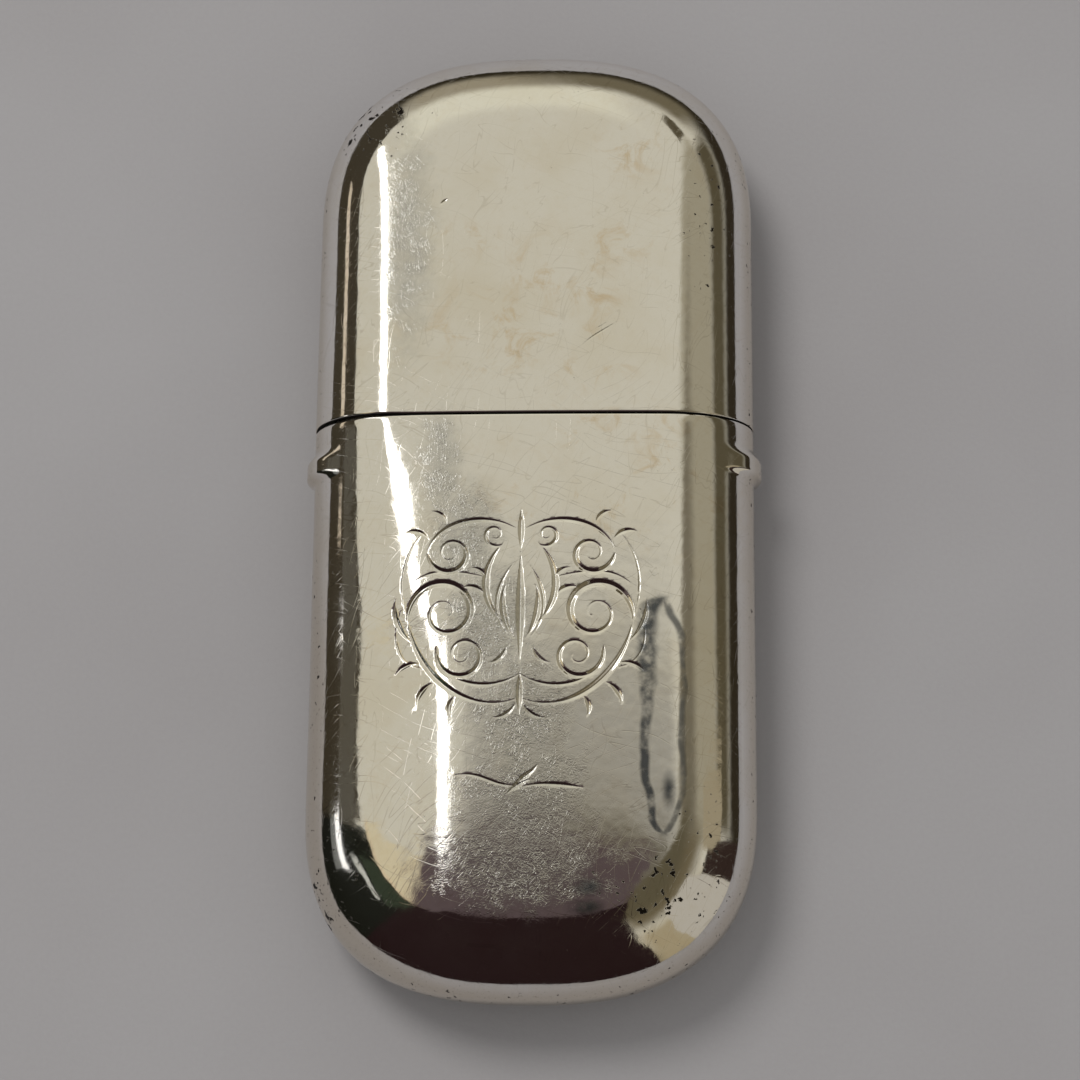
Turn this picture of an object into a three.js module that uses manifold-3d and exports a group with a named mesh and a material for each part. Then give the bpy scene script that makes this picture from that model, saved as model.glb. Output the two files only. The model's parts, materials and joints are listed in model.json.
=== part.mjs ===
// A flat silver pin case: a drawn body and a pull-off cap that meet at a seam across the case.
// A thin sleeve is fixed inside the cap and slides into the body. A leaf spring on each narrow
// side of the sleeve carries a nib, which clicks into a swell in the body's wall. A velvet
// cushion with two rows of pins fills the body.
// Millimetres. X is the width, Y runs from the body to the cap, and Z points up from the flat
// back that the case lies on. The origin is on the back, under the middle of the case.
import * as THREE from "three";
import { mergeVertices } from "three/addons/utils/BufferGeometryUtils.js";
import Module from "manifold-3d";

const wasm = await Module();
wasm.setup();

// Case
const caseLength = 88.9;
const caseWidth = 40;
const caseThickness = 12.7;
const wall = 0.6;
const edgeRound = 7.7; // how far the rounded edge reaches in from the side
const edgeExponent = 2.06; // 2 is an ellipse, more is squarer
const endHeight = 17.6; // length of each rounded end
const endExponent = 2.55;
const frontCrown = 0.5; // rise of the front face towards its middle

// Seam between body and cap
const capLength = 37;
const seamGap = 0.3;

// Swell on each narrow side of the body, the recess for a catch
const swellBelowSeam = 2;
const swellRise = 1.3; // gentle flank towards the seam
const swellFlat = 1.2;
const swellFall = 0.6; // steep flank away from the seam
const swellProud = 0.7;
const swellFullAngle = 38; // degrees up the rounded edge that the swell keeps its full height
const swellEndAngle = 60; // degrees up the rounded edge where it has died out

// Sleeve, fixed in the cap and sliding in the body
const sleeveWall = 0.5;
const sleeveClearance = 0.12;
const sleeveInCap = 9;
const sleeveInBody = 6;

// Catch: a leaf spring with a nib, and the rivet that holds it to the sleeve
const springThickness = 0.3;
const springWidth = 2.4;
const springClearance = 0.2;
const springTail = 1.2; // spring left past the rivet
const springTip = 1.4; // spring left past the nib's middle
const nibBite = 0.35; // how far the nib stands into the recess
const nibCrest = 0.6;
const nibLead = 1.2; // gentle flank, towards the cap
const nibStop = 0.6; // steep flank, away from the cap
const windowClearance = 0.4;
const rivetRadius = 0.5;
const rivetHeadRadius = 0.85;
const rivetHeadTop = 0.5; // radius of the head's flat top
const rivetHeadHeight = 0.4;
const rivetClearance = 0.1;
const rivetFromSleeveEnd = 2.2;

// Cushion: velvet over wadding on both sides of a stiff card
const cushionClearance = 0.4;
const cushionBelowSleeve = 1;
const cushionCrown = 1.6;
const cushionBottomGap = 2.6; // room under the cushion, along the case
const coverThickness = 0.6;
const waddingClearance = 0.1;
const cardThickness = 1;
const cardBelowTop = 3;

// Pins, in a row through the wadding on each side of the card
const pinsPerRow = 6;
const pinSpacing = 4.6;
const pinLength = 26;
const pinSunk = 13; // depth of the point below the cushion's crown
const pinRadius = 0.33;
const pinHeadRadius = 0.9;
const pinTaper = 3;
const pinHoleClearance = 0.3;

// Facets, for a quarter of an end or an edge, the crown, and a full turn
const endFacets = 14;
const edgeFacets = 8;
const crownFacets = 3;
const softEndFacets = 6;
const softEdgeFacets = 4;
const roundFacets = 8;
const headFacets = 4; // up the side of a pin's head

// Places worked out from the sizes above
const halfWidth = caseWidth / 2;
const halfLength = caseLength / 2;
const middleZ = caseThickness / 2;
const straightHalf = halfLength - endHeight;
const seamY = halfLength - capLength;
const swellTopY = seamY - swellBelowSeam;
const swellFlatTopY = swellTopY - swellRise;
const swellFlatLowY = swellFlatTopY - swellFlat;
const swellLowY = swellFlatLowY - swellFall;
const sleeveInset = wall + sleeveClearance;
const sleeveBore = sleeveInset + sleeveWall;
const sleeveTopY = seamY + sleeveInCap;
const sleeveLowY = seamY - sleeveInBody;
const cushionInset = wall + cushionClearance;
const waddingInset = cushionInset + coverThickness + waddingClearance;
const cushionTopY = sleeveLowY - cushionBelowSleeve;
const cushionLowY = -halfLength + wall + cushionBottomGap;
const farAway = 2 * caseLength;

const silver = { color: 0xd9d2bd, roughness: 0.18, metalness: 1 };
const springBrass = { color: 0xb9924f, roughness: 0.35, metalness: 1 };
const velvet = { color: 0x5a1626, roughness: 0.95, metalness: 0 };
const wool = { color: 0xe6dec9, roughness: 1, metalness: 0 };
const card = { color: 0xc9b184, roughness: 0.9, metalness: 0 };
const steel = { color: 0xcfd2d4, roughness: 0.2, metalness: 1 };

// One quarter of a superellipse of size 1, as [across, along] pairs from the side to the tip.
function quarter(steps, exponent) {
  const points = [];
  for (let i = 0; i <= steps; i += 1) {
    const angle = (Math.PI / 2) * (i / steps);
    const power = 2 / exponent;
    points.push([Math.max(Math.cos(angle), 0) ** power, Math.sin(angle) ** power]);
  }
  points[steps][0] = 0;
  return points;
}

// How much of the swell's height there is at a place along the case.
function swellAlong(y) {
  if (y >= swellTopY || y <= swellLowY) return 0;
  if (y > swellFlatTopY) return (swellTopY - y) / swellRise;
  if (y < swellFlatLowY) return (y - swellLowY) / swellFall;
  return 1;
}

// How much of it there is at a height up the rounded edge, as degrees from the side.
function swellAround(degrees) {
  return 1 - THREE.MathUtils.smoothstep(Math.abs(degrees), swellFullAngle, swellEndAngle);
}

// The plan outline, anticlockwise from the cap end's right corner, as far in from the case's
// side as depth says. Past the rounded edge it shrinks evenly towards the case's middle line.
function outline(depth, endSteps) {
  const half = halfWidth - depth;
  const innerHalf = halfWidth - edgeRound;
  const innerEnd = endHeight - edgeRound;
  const end = depth <= edgeRound ? endHeight - depth : (innerEnd * half) / innerHalf;
  const arc = quarter(endSteps, endExponent);
  const capEnd = arc.map(([across, along]) => [half * across, straightHalf + end * along]);
  const otherSide = capEnd.slice(0, -1).reverse().map(([x, y]) => [-x, y]);
  const sides = [swellTopY, (swellTopY + swellFlatTopY) / 2, swellFlatTopY, swellFlatLowY, swellLowY];
  const left = sides.map((y) => [-half, y]);
  const top = [...capEnd, ...otherSide, ...left];
  const bodyEnd = [...capEnd, ...otherSide].map(([x, y]) => [-x, -y]);
  const right = sides.map((y) => [half, y]).reverse();
  return [...top, ...bodyEnd, ...right];
}

// A closed pillow with the case's own outer form, moved in by inset on every side.
function pillow(inset, { swell = false, endSteps = endFacets, edgeSteps = edgeFacets } = {}) {
  const round = edgeRound - inset;
  const halfHeight = middleZ - inset;
  const edge = quarter(edgeSteps, edgeExponent);
  const rings = [];
  const addRing = (depth, z, angle, side) => {
    const steep = THREE.MathUtils.degToRad(angle);
    const outward = new THREE.Vector2(Math.cos(steep) / round, (side * Math.sin(steep)) / halfHeight);
    outward.normalize();
    rings.push(
      outline(depth, endSteps).map(([x, y]) => {
        const onSide = Math.abs(y) <= straightHalf;
        const proud = swell && onSide ? swellProud * swellAlong(y) * swellAround(angle) : 0;
        return [x + Math.sign(x) * proud * outward.x, y, z + proud * outward.y];
      }),
    );
  };
  const crownAt = (depth) => frontCrown * (1 - ((halfWidth - depth) / (halfWidth - inset)) ** 2);
  for (let i = edgeSteps; i >= 0; i -= 1) {
    const [across, up] = edge[i];
    const depth = inset + round * (1 - across);
    addRing(depth, middleZ - halfHeight * up, (90 * i) / edgeSteps, -1);
  }
  for (let i = 1; i <= edgeSteps; i += 1) {
    const [across, up] = edge[i];
    const depth = inset + round * (1 - across);
    const z = middleZ + (halfHeight - frontCrown) * up + crownAt(depth);
    addRing(depth, z, (90 * i) / edgeSteps, 1);
  }
  for (let i = 1; i <= crownFacets; i += 1) {
    const depth = edgeRound + ((halfWidth - edgeRound) * i) / (crownFacets + 1);
    addRing(depth, middleZ + halfHeight - frontCrown + crownAt(depth), 90, 1);
  }
  const top = middleZ + halfHeight;
  return loft(rings, [0, 0, middleZ - halfHeight], [0, 0, top]);
}

// A closed surface through rings of equal length, with a fan to a pole at either end.
function loft(rings, lowPole, highPole) {
  const count = rings[0].length;
  const positions = [...rings.flat(), lowPole, highPole].flat();
  const low = rings.length * count;
  const high = low + 1;
  const indices = [];
  for (let j = 0; j < count; j += 1) {
    const next = (j + 1) % count;
    for (let k = 0; k < rings.length - 1; k += 1) {
      const a = k * count + j;
      const b = k * count + next;
      indices.push(a, b, b + count, a, b + count, a + count);
    }
    const last = (rings.length - 1) * count;
    indices.push(low, next, j, high, last + j, last + next);
  }
  const geometry = new THREE.BufferGeometry();
  geometry.setAttribute("position", new THREE.Float32BufferAttribute(positions, 3));
  geometry.setIndex(indices);
  return solid(geometry);
}

// A solid that can be cut and joined, from a closed geometry.
function solid(geometry) {
  const bare = geometry.clone();
  bare.deleteAttribute("normal");
  bare.deleteAttribute("uv");
  const merged = mergeVertices(bare);
  const vertProperties = new Float32Array(merged.attributes.position.array);
  const triVerts = new Uint32Array(merged.index.array);
  return new wasm.Manifold(new wasm.Mesh({ numProp: 3, vertProperties, triVerts }));
}

// A block between two corners.
function block(from, to) {
  const size = to.map((value, i) => value - from[i]);
  const centre = to.map((value, i) => (value + from[i]) / 2);
  return solid(new THREE.BoxGeometry(...size).translate(...centre));
}

// Everything between two heights along the case.
function slab(lowY, highY) {
  return block([-farAway, lowY, -farAway], [farAway, highY, farAway]);
}

// A piece turned about Y: radius and Y pairs, from its low end to its high end on the axis.
function turned(profile) {
  const points = profile.map(([radius, y]) => new THREE.Vector2(radius, y));
  return new THREE.LatheGeometry(points, roundFacets);
}

// An outline drawn in X and Y, given a thickness from lowZ to highZ.
function plate(points, lowZ, highZ) {
  const shape = new THREE.Shape(points.map(([x, y]) => new THREE.Vector2(x, y)));
  const depth = highZ - lowZ;
  return new THREE.ExtrudeGeometry(shape, { depth, bevelEnabled: false }).translate(0, 0, lowZ);
}

const group = new THREE.Group();
group.name = "pin_case";

function add(name, shape, finish) {
  let geometry = shape;
  if (!shape.isBufferGeometry) {
    const { vertProperties, triVerts } = shape.getMesh();
    geometry = new THREE.BufferGeometry();
    geometry.setAttribute("position", new THREE.BufferAttribute(vertProperties, 3));
    geometry.setIndex(new THREE.BufferAttribute(triVerts, 1));
    geometry = geometry.toNonIndexed();
    geometry.computeVertexNormals();
  }
  const mesh = new THREE.Mesh(geometry, new THREE.MeshStandardMaterial(finish));
  mesh.name = name;
  group.add(mesh);
  return mesh;
}

// Shells: the case's form less its hollow, parted at the seam
const hollowCase = pillow(0, { swell: true }).subtract(pillow(wall, { swell: true }));
add("body_shell", hollowCase.intersect(slab(-farAway, seamY - seamGap / 2)), silver);
add("cap_shell", hollowCase.intersect(slab(seamY + seamGap / 2, farAway)), silver);

// Catches. Each is drawn on the right side, in a section through the case's middle height.
const bodyInnerX = halfWidth - wall;
const nibTopX = bodyInnerX + nibBite;
const nibY = (swellFlatTopY + swellFlatLowY) / 2;
const rivetY = sleeveTopY - rivetFromSleeveEnd;
const boreRound = edgeRound - sleeveBore;
const boreHalfHeight = middleZ - sleeveBore;
const springEdge = Math.min(springWidth / 2 / boreHalfHeight, 1);
const boreAtSpringEdge = halfWidth - sleeveBore
  - boreRound * (1 - (1 - springEdge ** edgeExponent) ** (1 / edgeExponent));
const springOuterX = boreAtSpringEdge - springClearance;
const springInnerX = springOuterX - springThickness;
const nibHighY = nibY + nibCrest / 2;
const nibLowY = nibY - nibCrest / 2;

function springSection() {
  return [
    [springInnerX, nibY - springTip],
    [springOuterX, nibY - springTip],
    [springOuterX, nibLowY - nibStop],
    [nibTopX, nibLowY],
    [nibTopX, nibHighY],
    [springOuterX, nibHighY + nibLead],
    [springOuterX, rivetY + springTail],
    [springInnerX, rivetY + springTail],
  ];
}

// A rod along X through the rivet's place.
function rivetRod(radius, fromX, toX) {
  const rod = new THREE.CylinderGeometry(radius, radius, toX - fromX, roundFacets);
  return rod.rotateZ(Math.PI / 2).translate((fromX + toX) / 2, rivetY, middleZ);
}

const lowSpringZ = middleZ - springWidth / 2;
const highSpringZ = middleZ + springWidth / 2;
const rivetHole = solid(rivetRod(rivetRadius + rivetClearance, 0, halfWidth - wall));
const spring = solid(plate(springSection(), lowSpringZ, highSpringZ)).subtract(rivetHole);
const nibWindow = block(
  [springOuterX, nibLowY - nibStop - windowClearance, lowSpringZ - windowClearance],
  [bodyInnerX, nibHighY + nibLead + windowClearance, highSpringZ + windowClearance],
);
const rivetFaceX = springInnerX - rivetClearance;
const rivet = new THREE.LatheGeometry(
  [
    [0, 0],
    [rivetHeadTop, 0],
    [rivetHeadRadius, rivetHeadHeight / 2],
    [rivetHeadRadius, rivetHeadHeight],
    [rivetRadius, rivetHeadHeight],
    [rivetRadius, rivetHeadHeight + halfWidth - sleeveInset - rivetFaceX],
    [0, rivetHeadHeight + halfWidth - sleeveInset - rivetFaceX],
  ].map(([radius, along]) => new THREE.Vector2(radius, along)),
  roundFacets,
).rotateZ(-Math.PI / 2).translate(rivetFaceX - rivetHeadHeight, rivetY, middleZ);

const mirrored = (shape) => shape.mirror([1, 0, 0]);
add("right_catch_spring", spring, springBrass);
add("left_catch_spring", mirrored(spring), springBrass);
add("right_catch_rivet", solid(rivet), springBrass);
add("left_catch_rivet", mirrored(solid(rivet)), springBrass);

// Sleeve: a straight tube of the case's section, open for each nib and rivet
const sleeve = pillow(sleeveInset)
  .subtract(pillow(sleeveBore))
  .intersect(slab(sleeveLowY, sleeveTopY))
  .subtract(nibWindow)
  .subtract(mirrored(nibWindow))
  .subtract(rivetHole)
  .subtract(mirrored(rivetHole));
add("cap_sleeve", sleeve, silver);

// Cushion
const softFacets = { endSteps: softEndFacets, edgeSteps: softEdgeFacets };

// Everything under a crowned top, as wide as the cushion.
function underCrown(topY) {
  const half = halfWidth - cushionInset;
  const points = [[-half, cushionLowY], [half, cushionLowY]];
  for (let i = -softEndFacets; i <= softEndFacets; i += 1) {
    const x = (-half * i) / softEndFacets;
    points.push([x, topY - cushionCrown * (x / half) ** 2]);
  }
  return solid(plate(points, -farAway, farAway));
}

const waddingTopY = cushionTopY - coverThickness - waddingClearance;
const pinHoles = [];
const pins = [];
const waddingLowZ = middleZ + cardThickness / 2 + waddingClearance;
const waddingHighZ = caseThickness - waddingInset - frontCrown;
const rowOffset = (waddingLowZ + waddingHighZ) / 2 - middleZ;
const pinTipY = cushionTopY - pinSunk;
for (const side of [1, -1]) {
  for (let i = 0; i < pinsPerRow; i += 1) {
    const x = (i - (pinsPerRow - 1) / 2) * pinSpacing;
    const z = middleZ + side * rowOffset;
    const headY = pinTipY + pinLength - pinHeadRadius;
    const neck = Math.sqrt(pinHeadRadius ** 2 - pinRadius ** 2);
    const profile = [[0, pinTipY], [pinRadius, pinTipY + pinTaper], [pinRadius, headY - neck]];
    for (let k = -1; k < headFacets - 1; k += 1) {
      const angle = (Math.PI / 2) * (k / (headFacets - 1));
      profile.push([pinHeadRadius * Math.cos(angle), headY + pinHeadRadius * Math.sin(angle)]);
    }
    profile.push([0, headY + pinHeadRadius]);
    pins.push(turned(profile).translate(x, 0, z));
    const hole = turned([
      [0, pinTipY - pinHoleClearance],
      [pinRadius + pinHoleClearance, pinTipY - pinHoleClearance],
      [pinRadius + pinHoleClearance, cushionTopY + pinLength],
      [0, cushionTopY + pinLength],
    ]);
    pinHoles.push(solid(hole.translate(x, 0, z)));
  }
}
const allHoles = pinHoles.reduce((joined, hole) => joined.add(hole));

const cushionSpace = pillow(cushionInset, softFacets).intersect(underCrown(cushionTopY));
const waddingSpace = pillow(waddingInset, softFacets).intersect(underCrown(waddingTopY));
const coverSpace = pillow(waddingInset - waddingClearance, softFacets)
  .intersect(underCrown(cushionTopY - coverThickness));
const bottomOpening = block(
  [-halfWidth + edgeRound, -farAway, coverThickness + cushionInset],
  [halfWidth - edgeRound, cushionLowY + coverThickness, caseThickness - coverThickness - cushionInset],
);
add("cushion_cover", cushionSpace.subtract(coverSpace).subtract(bottomOpening).subtract(allHoles), velvet);

const aboveCard = block([-farAway, -farAway, waddingLowZ], [farAway, farAway, farAway]);
const belowCard = block(
  [-farAway, -farAway, -farAway],
  [farAway, farAway, 2 * middleZ - waddingLowZ],
);
add("front_wadding", waddingSpace.intersect(aboveCard).subtract(allHoles), wool);
add("back_wadding", waddingSpace.intersect(belowCard).subtract(allHoles), wool);

const cardLayer = block(
  [-farAway, -farAway, middleZ - cardThickness / 2],
  [farAway, cushionTopY - cardBelowTop, middleZ + cardThickness / 2],
);
add("cushion_card", waddingSpace.intersect(cardLayer), card);

pins.forEach((pin, i) => add(`pin_${String(i + 1).padStart(2, "0")}`, pin, steel));

export default group;
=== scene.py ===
# %% [markdown]
# A flat silver pin case: two polished shells that part at a seam, a sprung sleeve between them, and a
# velvet cushion with its pins inside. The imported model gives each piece's box. This script builds finer
# meshes to those boxes and adds finishes, light and a camera.

import json
import math

import bmesh
import bpy
import numpy as np
from mathutils import Matrix, Vector, kdtree

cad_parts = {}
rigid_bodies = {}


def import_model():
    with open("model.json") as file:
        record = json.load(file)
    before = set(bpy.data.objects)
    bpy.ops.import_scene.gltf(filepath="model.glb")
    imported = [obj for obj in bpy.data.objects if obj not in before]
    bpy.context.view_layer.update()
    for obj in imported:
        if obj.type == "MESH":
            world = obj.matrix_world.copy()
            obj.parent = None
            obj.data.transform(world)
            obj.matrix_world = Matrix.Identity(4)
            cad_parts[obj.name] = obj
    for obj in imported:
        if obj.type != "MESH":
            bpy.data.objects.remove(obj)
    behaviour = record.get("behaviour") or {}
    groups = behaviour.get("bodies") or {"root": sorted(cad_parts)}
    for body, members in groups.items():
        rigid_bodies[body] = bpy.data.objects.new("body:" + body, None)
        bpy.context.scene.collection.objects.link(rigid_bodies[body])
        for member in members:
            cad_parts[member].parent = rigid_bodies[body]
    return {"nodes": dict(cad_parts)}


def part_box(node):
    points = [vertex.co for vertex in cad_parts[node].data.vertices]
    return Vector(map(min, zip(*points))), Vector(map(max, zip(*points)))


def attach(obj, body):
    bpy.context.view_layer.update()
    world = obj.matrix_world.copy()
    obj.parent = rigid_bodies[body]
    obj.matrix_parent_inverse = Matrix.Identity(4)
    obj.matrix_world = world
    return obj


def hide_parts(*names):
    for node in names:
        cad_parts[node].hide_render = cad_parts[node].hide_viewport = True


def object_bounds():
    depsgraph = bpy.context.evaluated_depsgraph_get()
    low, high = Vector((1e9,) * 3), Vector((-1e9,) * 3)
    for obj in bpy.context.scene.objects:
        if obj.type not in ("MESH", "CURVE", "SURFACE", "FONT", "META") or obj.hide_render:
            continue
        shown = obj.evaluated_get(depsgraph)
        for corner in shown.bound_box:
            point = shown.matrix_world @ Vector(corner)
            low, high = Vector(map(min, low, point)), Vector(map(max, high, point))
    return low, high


MM = 0.001
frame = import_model()
cad_bounds = [list(corner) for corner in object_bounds()]
print("packed model:", len(frame["nodes"]), "nodes, box", cad_bounds)

# %% [markdown]
# The case lies on its back on a pale floor and is seen from above, a little from its lower end. The
# camera stands where a fit of the outline and the seam puts it for this long lens, about 28 cm away.

# %% Camera
EYE = Vector((14.3, -79.1, 266.0)) * MM
CAMERA_RIGHT = Vector((0.99872, 0.01011, -0.04955))
CAMERA_UP = Vector((0.00431, 0.95921, 0.28266))
LENS = 100

camera_data = bpy.data.cameras.new("camera")
camera_data.lens = LENS
camera_data.sensor_width = 36
camera_data.clip_start = 0.01
camera = bpy.data.objects.new("camera", camera_data)
bpy.context.scene.collection.objects.link(camera)
turn = Matrix((CAMERA_RIGHT, CAMERA_UP, CAMERA_RIGHT.cross(CAMERA_UP))).transposed()
camera.matrix_world = Matrix.Translation(EYE) @ turn.to_4x4()
bpy.context.scene.camera = camera
bpy.context.scene.view_settings.view_transform = "Standard"
print("camera", round(EYE.length / MM), "mm from the middle of the case")

# %% [markdown]
# Each finish is a small tree of nodes. A recipe holds one material's tree and has a short method for each
# kind of step, so that a finish further down reads as a list of what is mixed with what.

# %% Recipes for materials
def screen(red, green, blue):
    """A colour as it shows on screen, 0 to 255, in the linear values that shaders use."""
    def one(value):
        share = value / 255
        return share / 12.92 if share <= 0.04045 else ((share + 0.055) / 1.055) ** 2.4

    return (one(red), one(green), one(blue), 1)


class Recipe:
    def __init__(self, name):
        self.material = bpy.data.materials.new(name)
        self.material.use_nodes = True
        self.tree = self.material.node_tree

    def fill(self, made, inputs):
        """Sets inputs, keyed by name or number, to a value or to another node's output."""
        for key, value in inputs.items():
            if isinstance(value, bpy.types.NodeSocket):
                self.tree.links.new(value, made.inputs[key])
            else:
                made.inputs[key].default_value = value

    def node(self, kind, inputs, **settings):
        made = self.tree.nodes.new("ShaderNode" + kind)
        for key, value in settings.items():
            setattr(made, key, value)
        self.fill(made, inputs)
        return made.outputs

    def surface(self, inputs):
        """Sets inputs of the shader itself."""
        self.fill(self.tree.nodes["Principled BSDF"], inputs)

    def math(self, operation, *values):
        return self.node("Math", dict(enumerate(values)), operation=operation)[0]

    def times(self, a, b):
        return self.math("MULTIPLY", a, b)

    def minus(self, a, b):
        return self.math("SUBTRACT", a, b)

    def times_plus(self, a, b, c):
        return self.math("MULTIPLY_ADD", a, b, c)

    def size_of(self, value):
        return self.math("ABSOLUTE", value)

    def largest(self, *values):
        found = values[0]
        for value in values[1:]:
            found = self.math("MAXIMUM", found, value)
        return found

    def vector(self, operation, inputs):
        return self.node("VectorMath", inputs, operation=operation)

    def parts(self, vector):
        return self.node("SeparateXYZ", {0: vector})

    def moved(self, place, **inputs):
        """A place that is shifted, turned and scaled."""
        return self.node("Mapping", {"Vector": place, **inputs})[0]

    def step(self, value, low, high):
        """0 below low, 1 above high, and a smooth rise between them. It falls where low is above high."""
        inputs = {"Value": value, "From Min": low, "From Max": high}
        return self.node("MapRange", inputs, interpolation_type="SMOOTHSTEP")[0]

    def span(self, value, low, high):
        """low where value is 0 and high where it is 1."""
        return self.node("MapRange", {"Value": value, "To Min": low, "To Max": high})[0]

    def mix(self, share, a, b):
        return self.node("Mix", {0: share, 6: a, 7: b}, data_type="RGBA")[2]

    def noise(self, scale, detail=2.0, roughness=0.5, distortion=0.0, place=None, output="Fac"):
        inputs = {"Vector": self.place if place is None else place, "Scale": scale, "Detail": detail,
                  "Roughness": roughness, "Distortion": distortion}
        return self.node("TexNoise", inputs)[output]

    def bump(self, height, depth):
        """Raises the surface by up to depth, in millimetres, where height is 1."""
        inputs = {"Height": height, "Strength": 1.0, "Distance": depth * MM}
        self.surface({"Normal": self.node("Bump", inputs)[0]})


def finish(name):
    """A recipe that knows the place on the piece, in millimetres."""
    made = Recipe(name)
    place = made.node("TexCoord", {})["Object"]
    made.place = made.vector("SCALE", {0: place, "Scale": 1 / MM})[0]
    return made


# %% [markdown]
# The floor is plain, matt and nearly even, with a faint cloudiness and fibres that only show close up.

# %% Pale floor
FLOOR_RADIUS = 1.6
bpy.ops.mesh.primitive_circle_add(vertices=96, radius=FLOOR_RADIUS, fill_type="NGON")
ground = bpy.context.object
ground.name = "floor"
look = finish("floor")
clouds = look.noise(0.02, 3)
fibres = look.noise(2.2, 4, 0.7)
tone = look.step(look.times_plus(fibres, 0.35, clouds), 0.3, 1.1)
look.surface({"Base Color": look.mix(tone, screen(157, 153, 152), screen(167, 164, 163)),
              "Roughness": 0.9, "Specular IOR Level": 0.2})
look.bump(fibres, 0.02)
ground.data.materials.append(look.material)

# %% [markdown]
# Polished silver mostly shows what stands round it. Here that is a dome that only reflections see, pale
# above and dark at the horizon, with bright and dark cards hung in front of it. A place on the dome is
# given by its angle from straight up and its compass angle, counted from the right.

# %% Studio that the silver reflects
DOME_RADIUS = 3.2
CARD_RADIUS = 1.4


def reflected_only(thing):
    thing.visible_camera = False
    thing.visible_diffuse = False
    thing.visible_shadow = False
    thing.visible_transmission = False


def glow(name, colour, strength=1.0):
    """A recipe for something that shines instead of reflecting."""
    made = Recipe(name)
    made.tree.nodes.clear()
    light = made.node("Emission", {"Color": colour, "Strength": strength})[0]
    made.node("OutputMaterial", {"Surface": light})
    return made


bpy.ops.mesh.primitive_uv_sphere_add(segments=64, ring_count=32, radius=DOME_RADIUS)
dome = bpy.context.object
dome.name = "studio_dome"
sky = glow("studio_dome", (1, 1, 1, 1))
direction = sky.vector("NORMALIZE", {0: sky.node("TexCoord", {})["Object"]})[0]
parts = sky.parts(direction)
zenith = sky.math("ARCCOSINE", parts["Z"])
compass = sky.math("ARCTAN2", parts["Y"], parts["X"])


def rise(value, low, high):
    """A smooth rise between two angles in degrees."""
    return sky.step(value, math.radians(low), math.radians(high))


def area(under, colour, from_compass, to_compass, from_zenith, to_zenith, soft):
    """Lays a soft-edged patch of one colour over what the dome has so far. Angles are in degrees."""
    middle = math.radians((from_compass + to_compass) / 2)
    half = (to_compass - from_compass) / 2
    turned = sky.math("WRAP", sky.minus(compass, middle), math.pi, -math.pi)
    side = rise(sky.size_of(turned), half + soft, half - soft)
    low = rise(zenith, from_zenith - soft, from_zenith + soft)
    high = rise(zenith, to_zenith + soft, to_zenith - soft)
    return sky.mix(sky.times(sky.times(side, low), high), under, colour)


PALE_TOP = screen(197, 192, 175)
GREY_TOP = screen(154, 150, 138)
DIM_TOP = screen(104, 98, 84)
DARK_LOW = screen(46, 41, 30)
colour = sky.mix(rise(zenith, 58, 84), PALE_TOP, DARK_LOW)
colour = sky.mix(rise(zenith, 17, 12), colour, GREY_TOP)
colour = sky.mix(rise(zenith, 12, 8), colour, DIM_TOP)
for patch_colour, *edges in (
        (screen(152, 145, 124), 2, 56, 25, 54, 4),
        (screen(114, 107, 90), -6, 46, 16, 31, 4),
        (screen(82, 75, 57), 4, 50, 54, 71, 4),
        (screen(46, 40, 30), 4, 50, 75, 100, 3),
        (screen(214, 210, 190), 82, 118, 34, 62, 6),
        (screen(150, 142, 122), 92, 116, 60, 80, 6),
        (screen(106, 98, 78), 58, 92, 62, 82, 6),
        (screen(104, 94, 72), 298, 372, 4, 36, 8),
        (screen(88, 81, 62), 298, 390, 4, 24, 6),
        (screen(160, 148, 120), 298, 350, 42, 100, 6)):
    colour = area(colour, patch_colour, *edges)
sky.fill(sky.tree.nodes["Emission"], {"Color": colour})
dome.data.materials.append(sky.material)
reflected_only(dome)


def toward(zenith_angle, compass_angle, radius):
    """The point of the dome at a pair of angles in degrees."""
    zenith_angle = math.radians(zenith_angle)
    compass_angle = math.radians(compass_angle)
    flat = math.sin(zenith_angle)
    across, along = math.cos(compass_angle), math.sin(compass_angle)
    return Vector((flat * across, flat * along, math.cos(zenith_angle))) * radius


def card(name, colour, one_edge, other_edge, strength=1.0, radius=CARD_RADIUS):
    """Hangs a card between two edges, each a list of (angle from straight up, compass angle)."""
    bpy.ops.mesh.primitive_grid_add(x_subdivisions=1, y_subdivisions=len(one_edge) - 1)
    hung = bpy.context.object
    hung.name = name
    corners = [toward(*pair, radius) for pairs in zip(one_edge, other_edge) for pair in pairs]
    for vertex, corner in zip(hung.data.vertices, corners):
        vertex.co = corner
    hung.data.materials.append(glow(name, colour, strength).material)
    reflected_only(hung)


card("lamp", (1, 0.985, 0.93, 1),
     [(17.7, 154.7), (19.9, 144), (23.1, 134.5), (26.4, 128.2), (32.3, 128.2), (39.8, 128.7), (53.4, 129.4)],
     [(22.2, 159.9), (24.3, 151), (27.7, 143.1), (31.4, 137.7), (36.9, 135.7), (44.4, 134.4), (57.4, 132.6)],
     strength=2.6)
card("low_dark_flag", screen(60, 54, 43),
     [(60, 118), (59, 140), (57, 152), (54, 159), (52, 163), (48, 169)],
     [(100, 118), (100, 140), (100, 152), (100, 159), (100, 163), (100, 172)], radius=2.4)
card("grey_card", screen(84, 80, 70), [(53, 163), (50, 172)], [(66, 163), (63, 172)], radius=1.6)
card("bright_card", (1, 0.98, 0.94, 1), [(68, 171), (64, 187)], [(62, 170), (59.5, 187)], strength=1.2)
card("grey_edge_card", screen(115, 116, 112), [(74, 172), (72, 187)], [(68, 171), (64, 187)])
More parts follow.
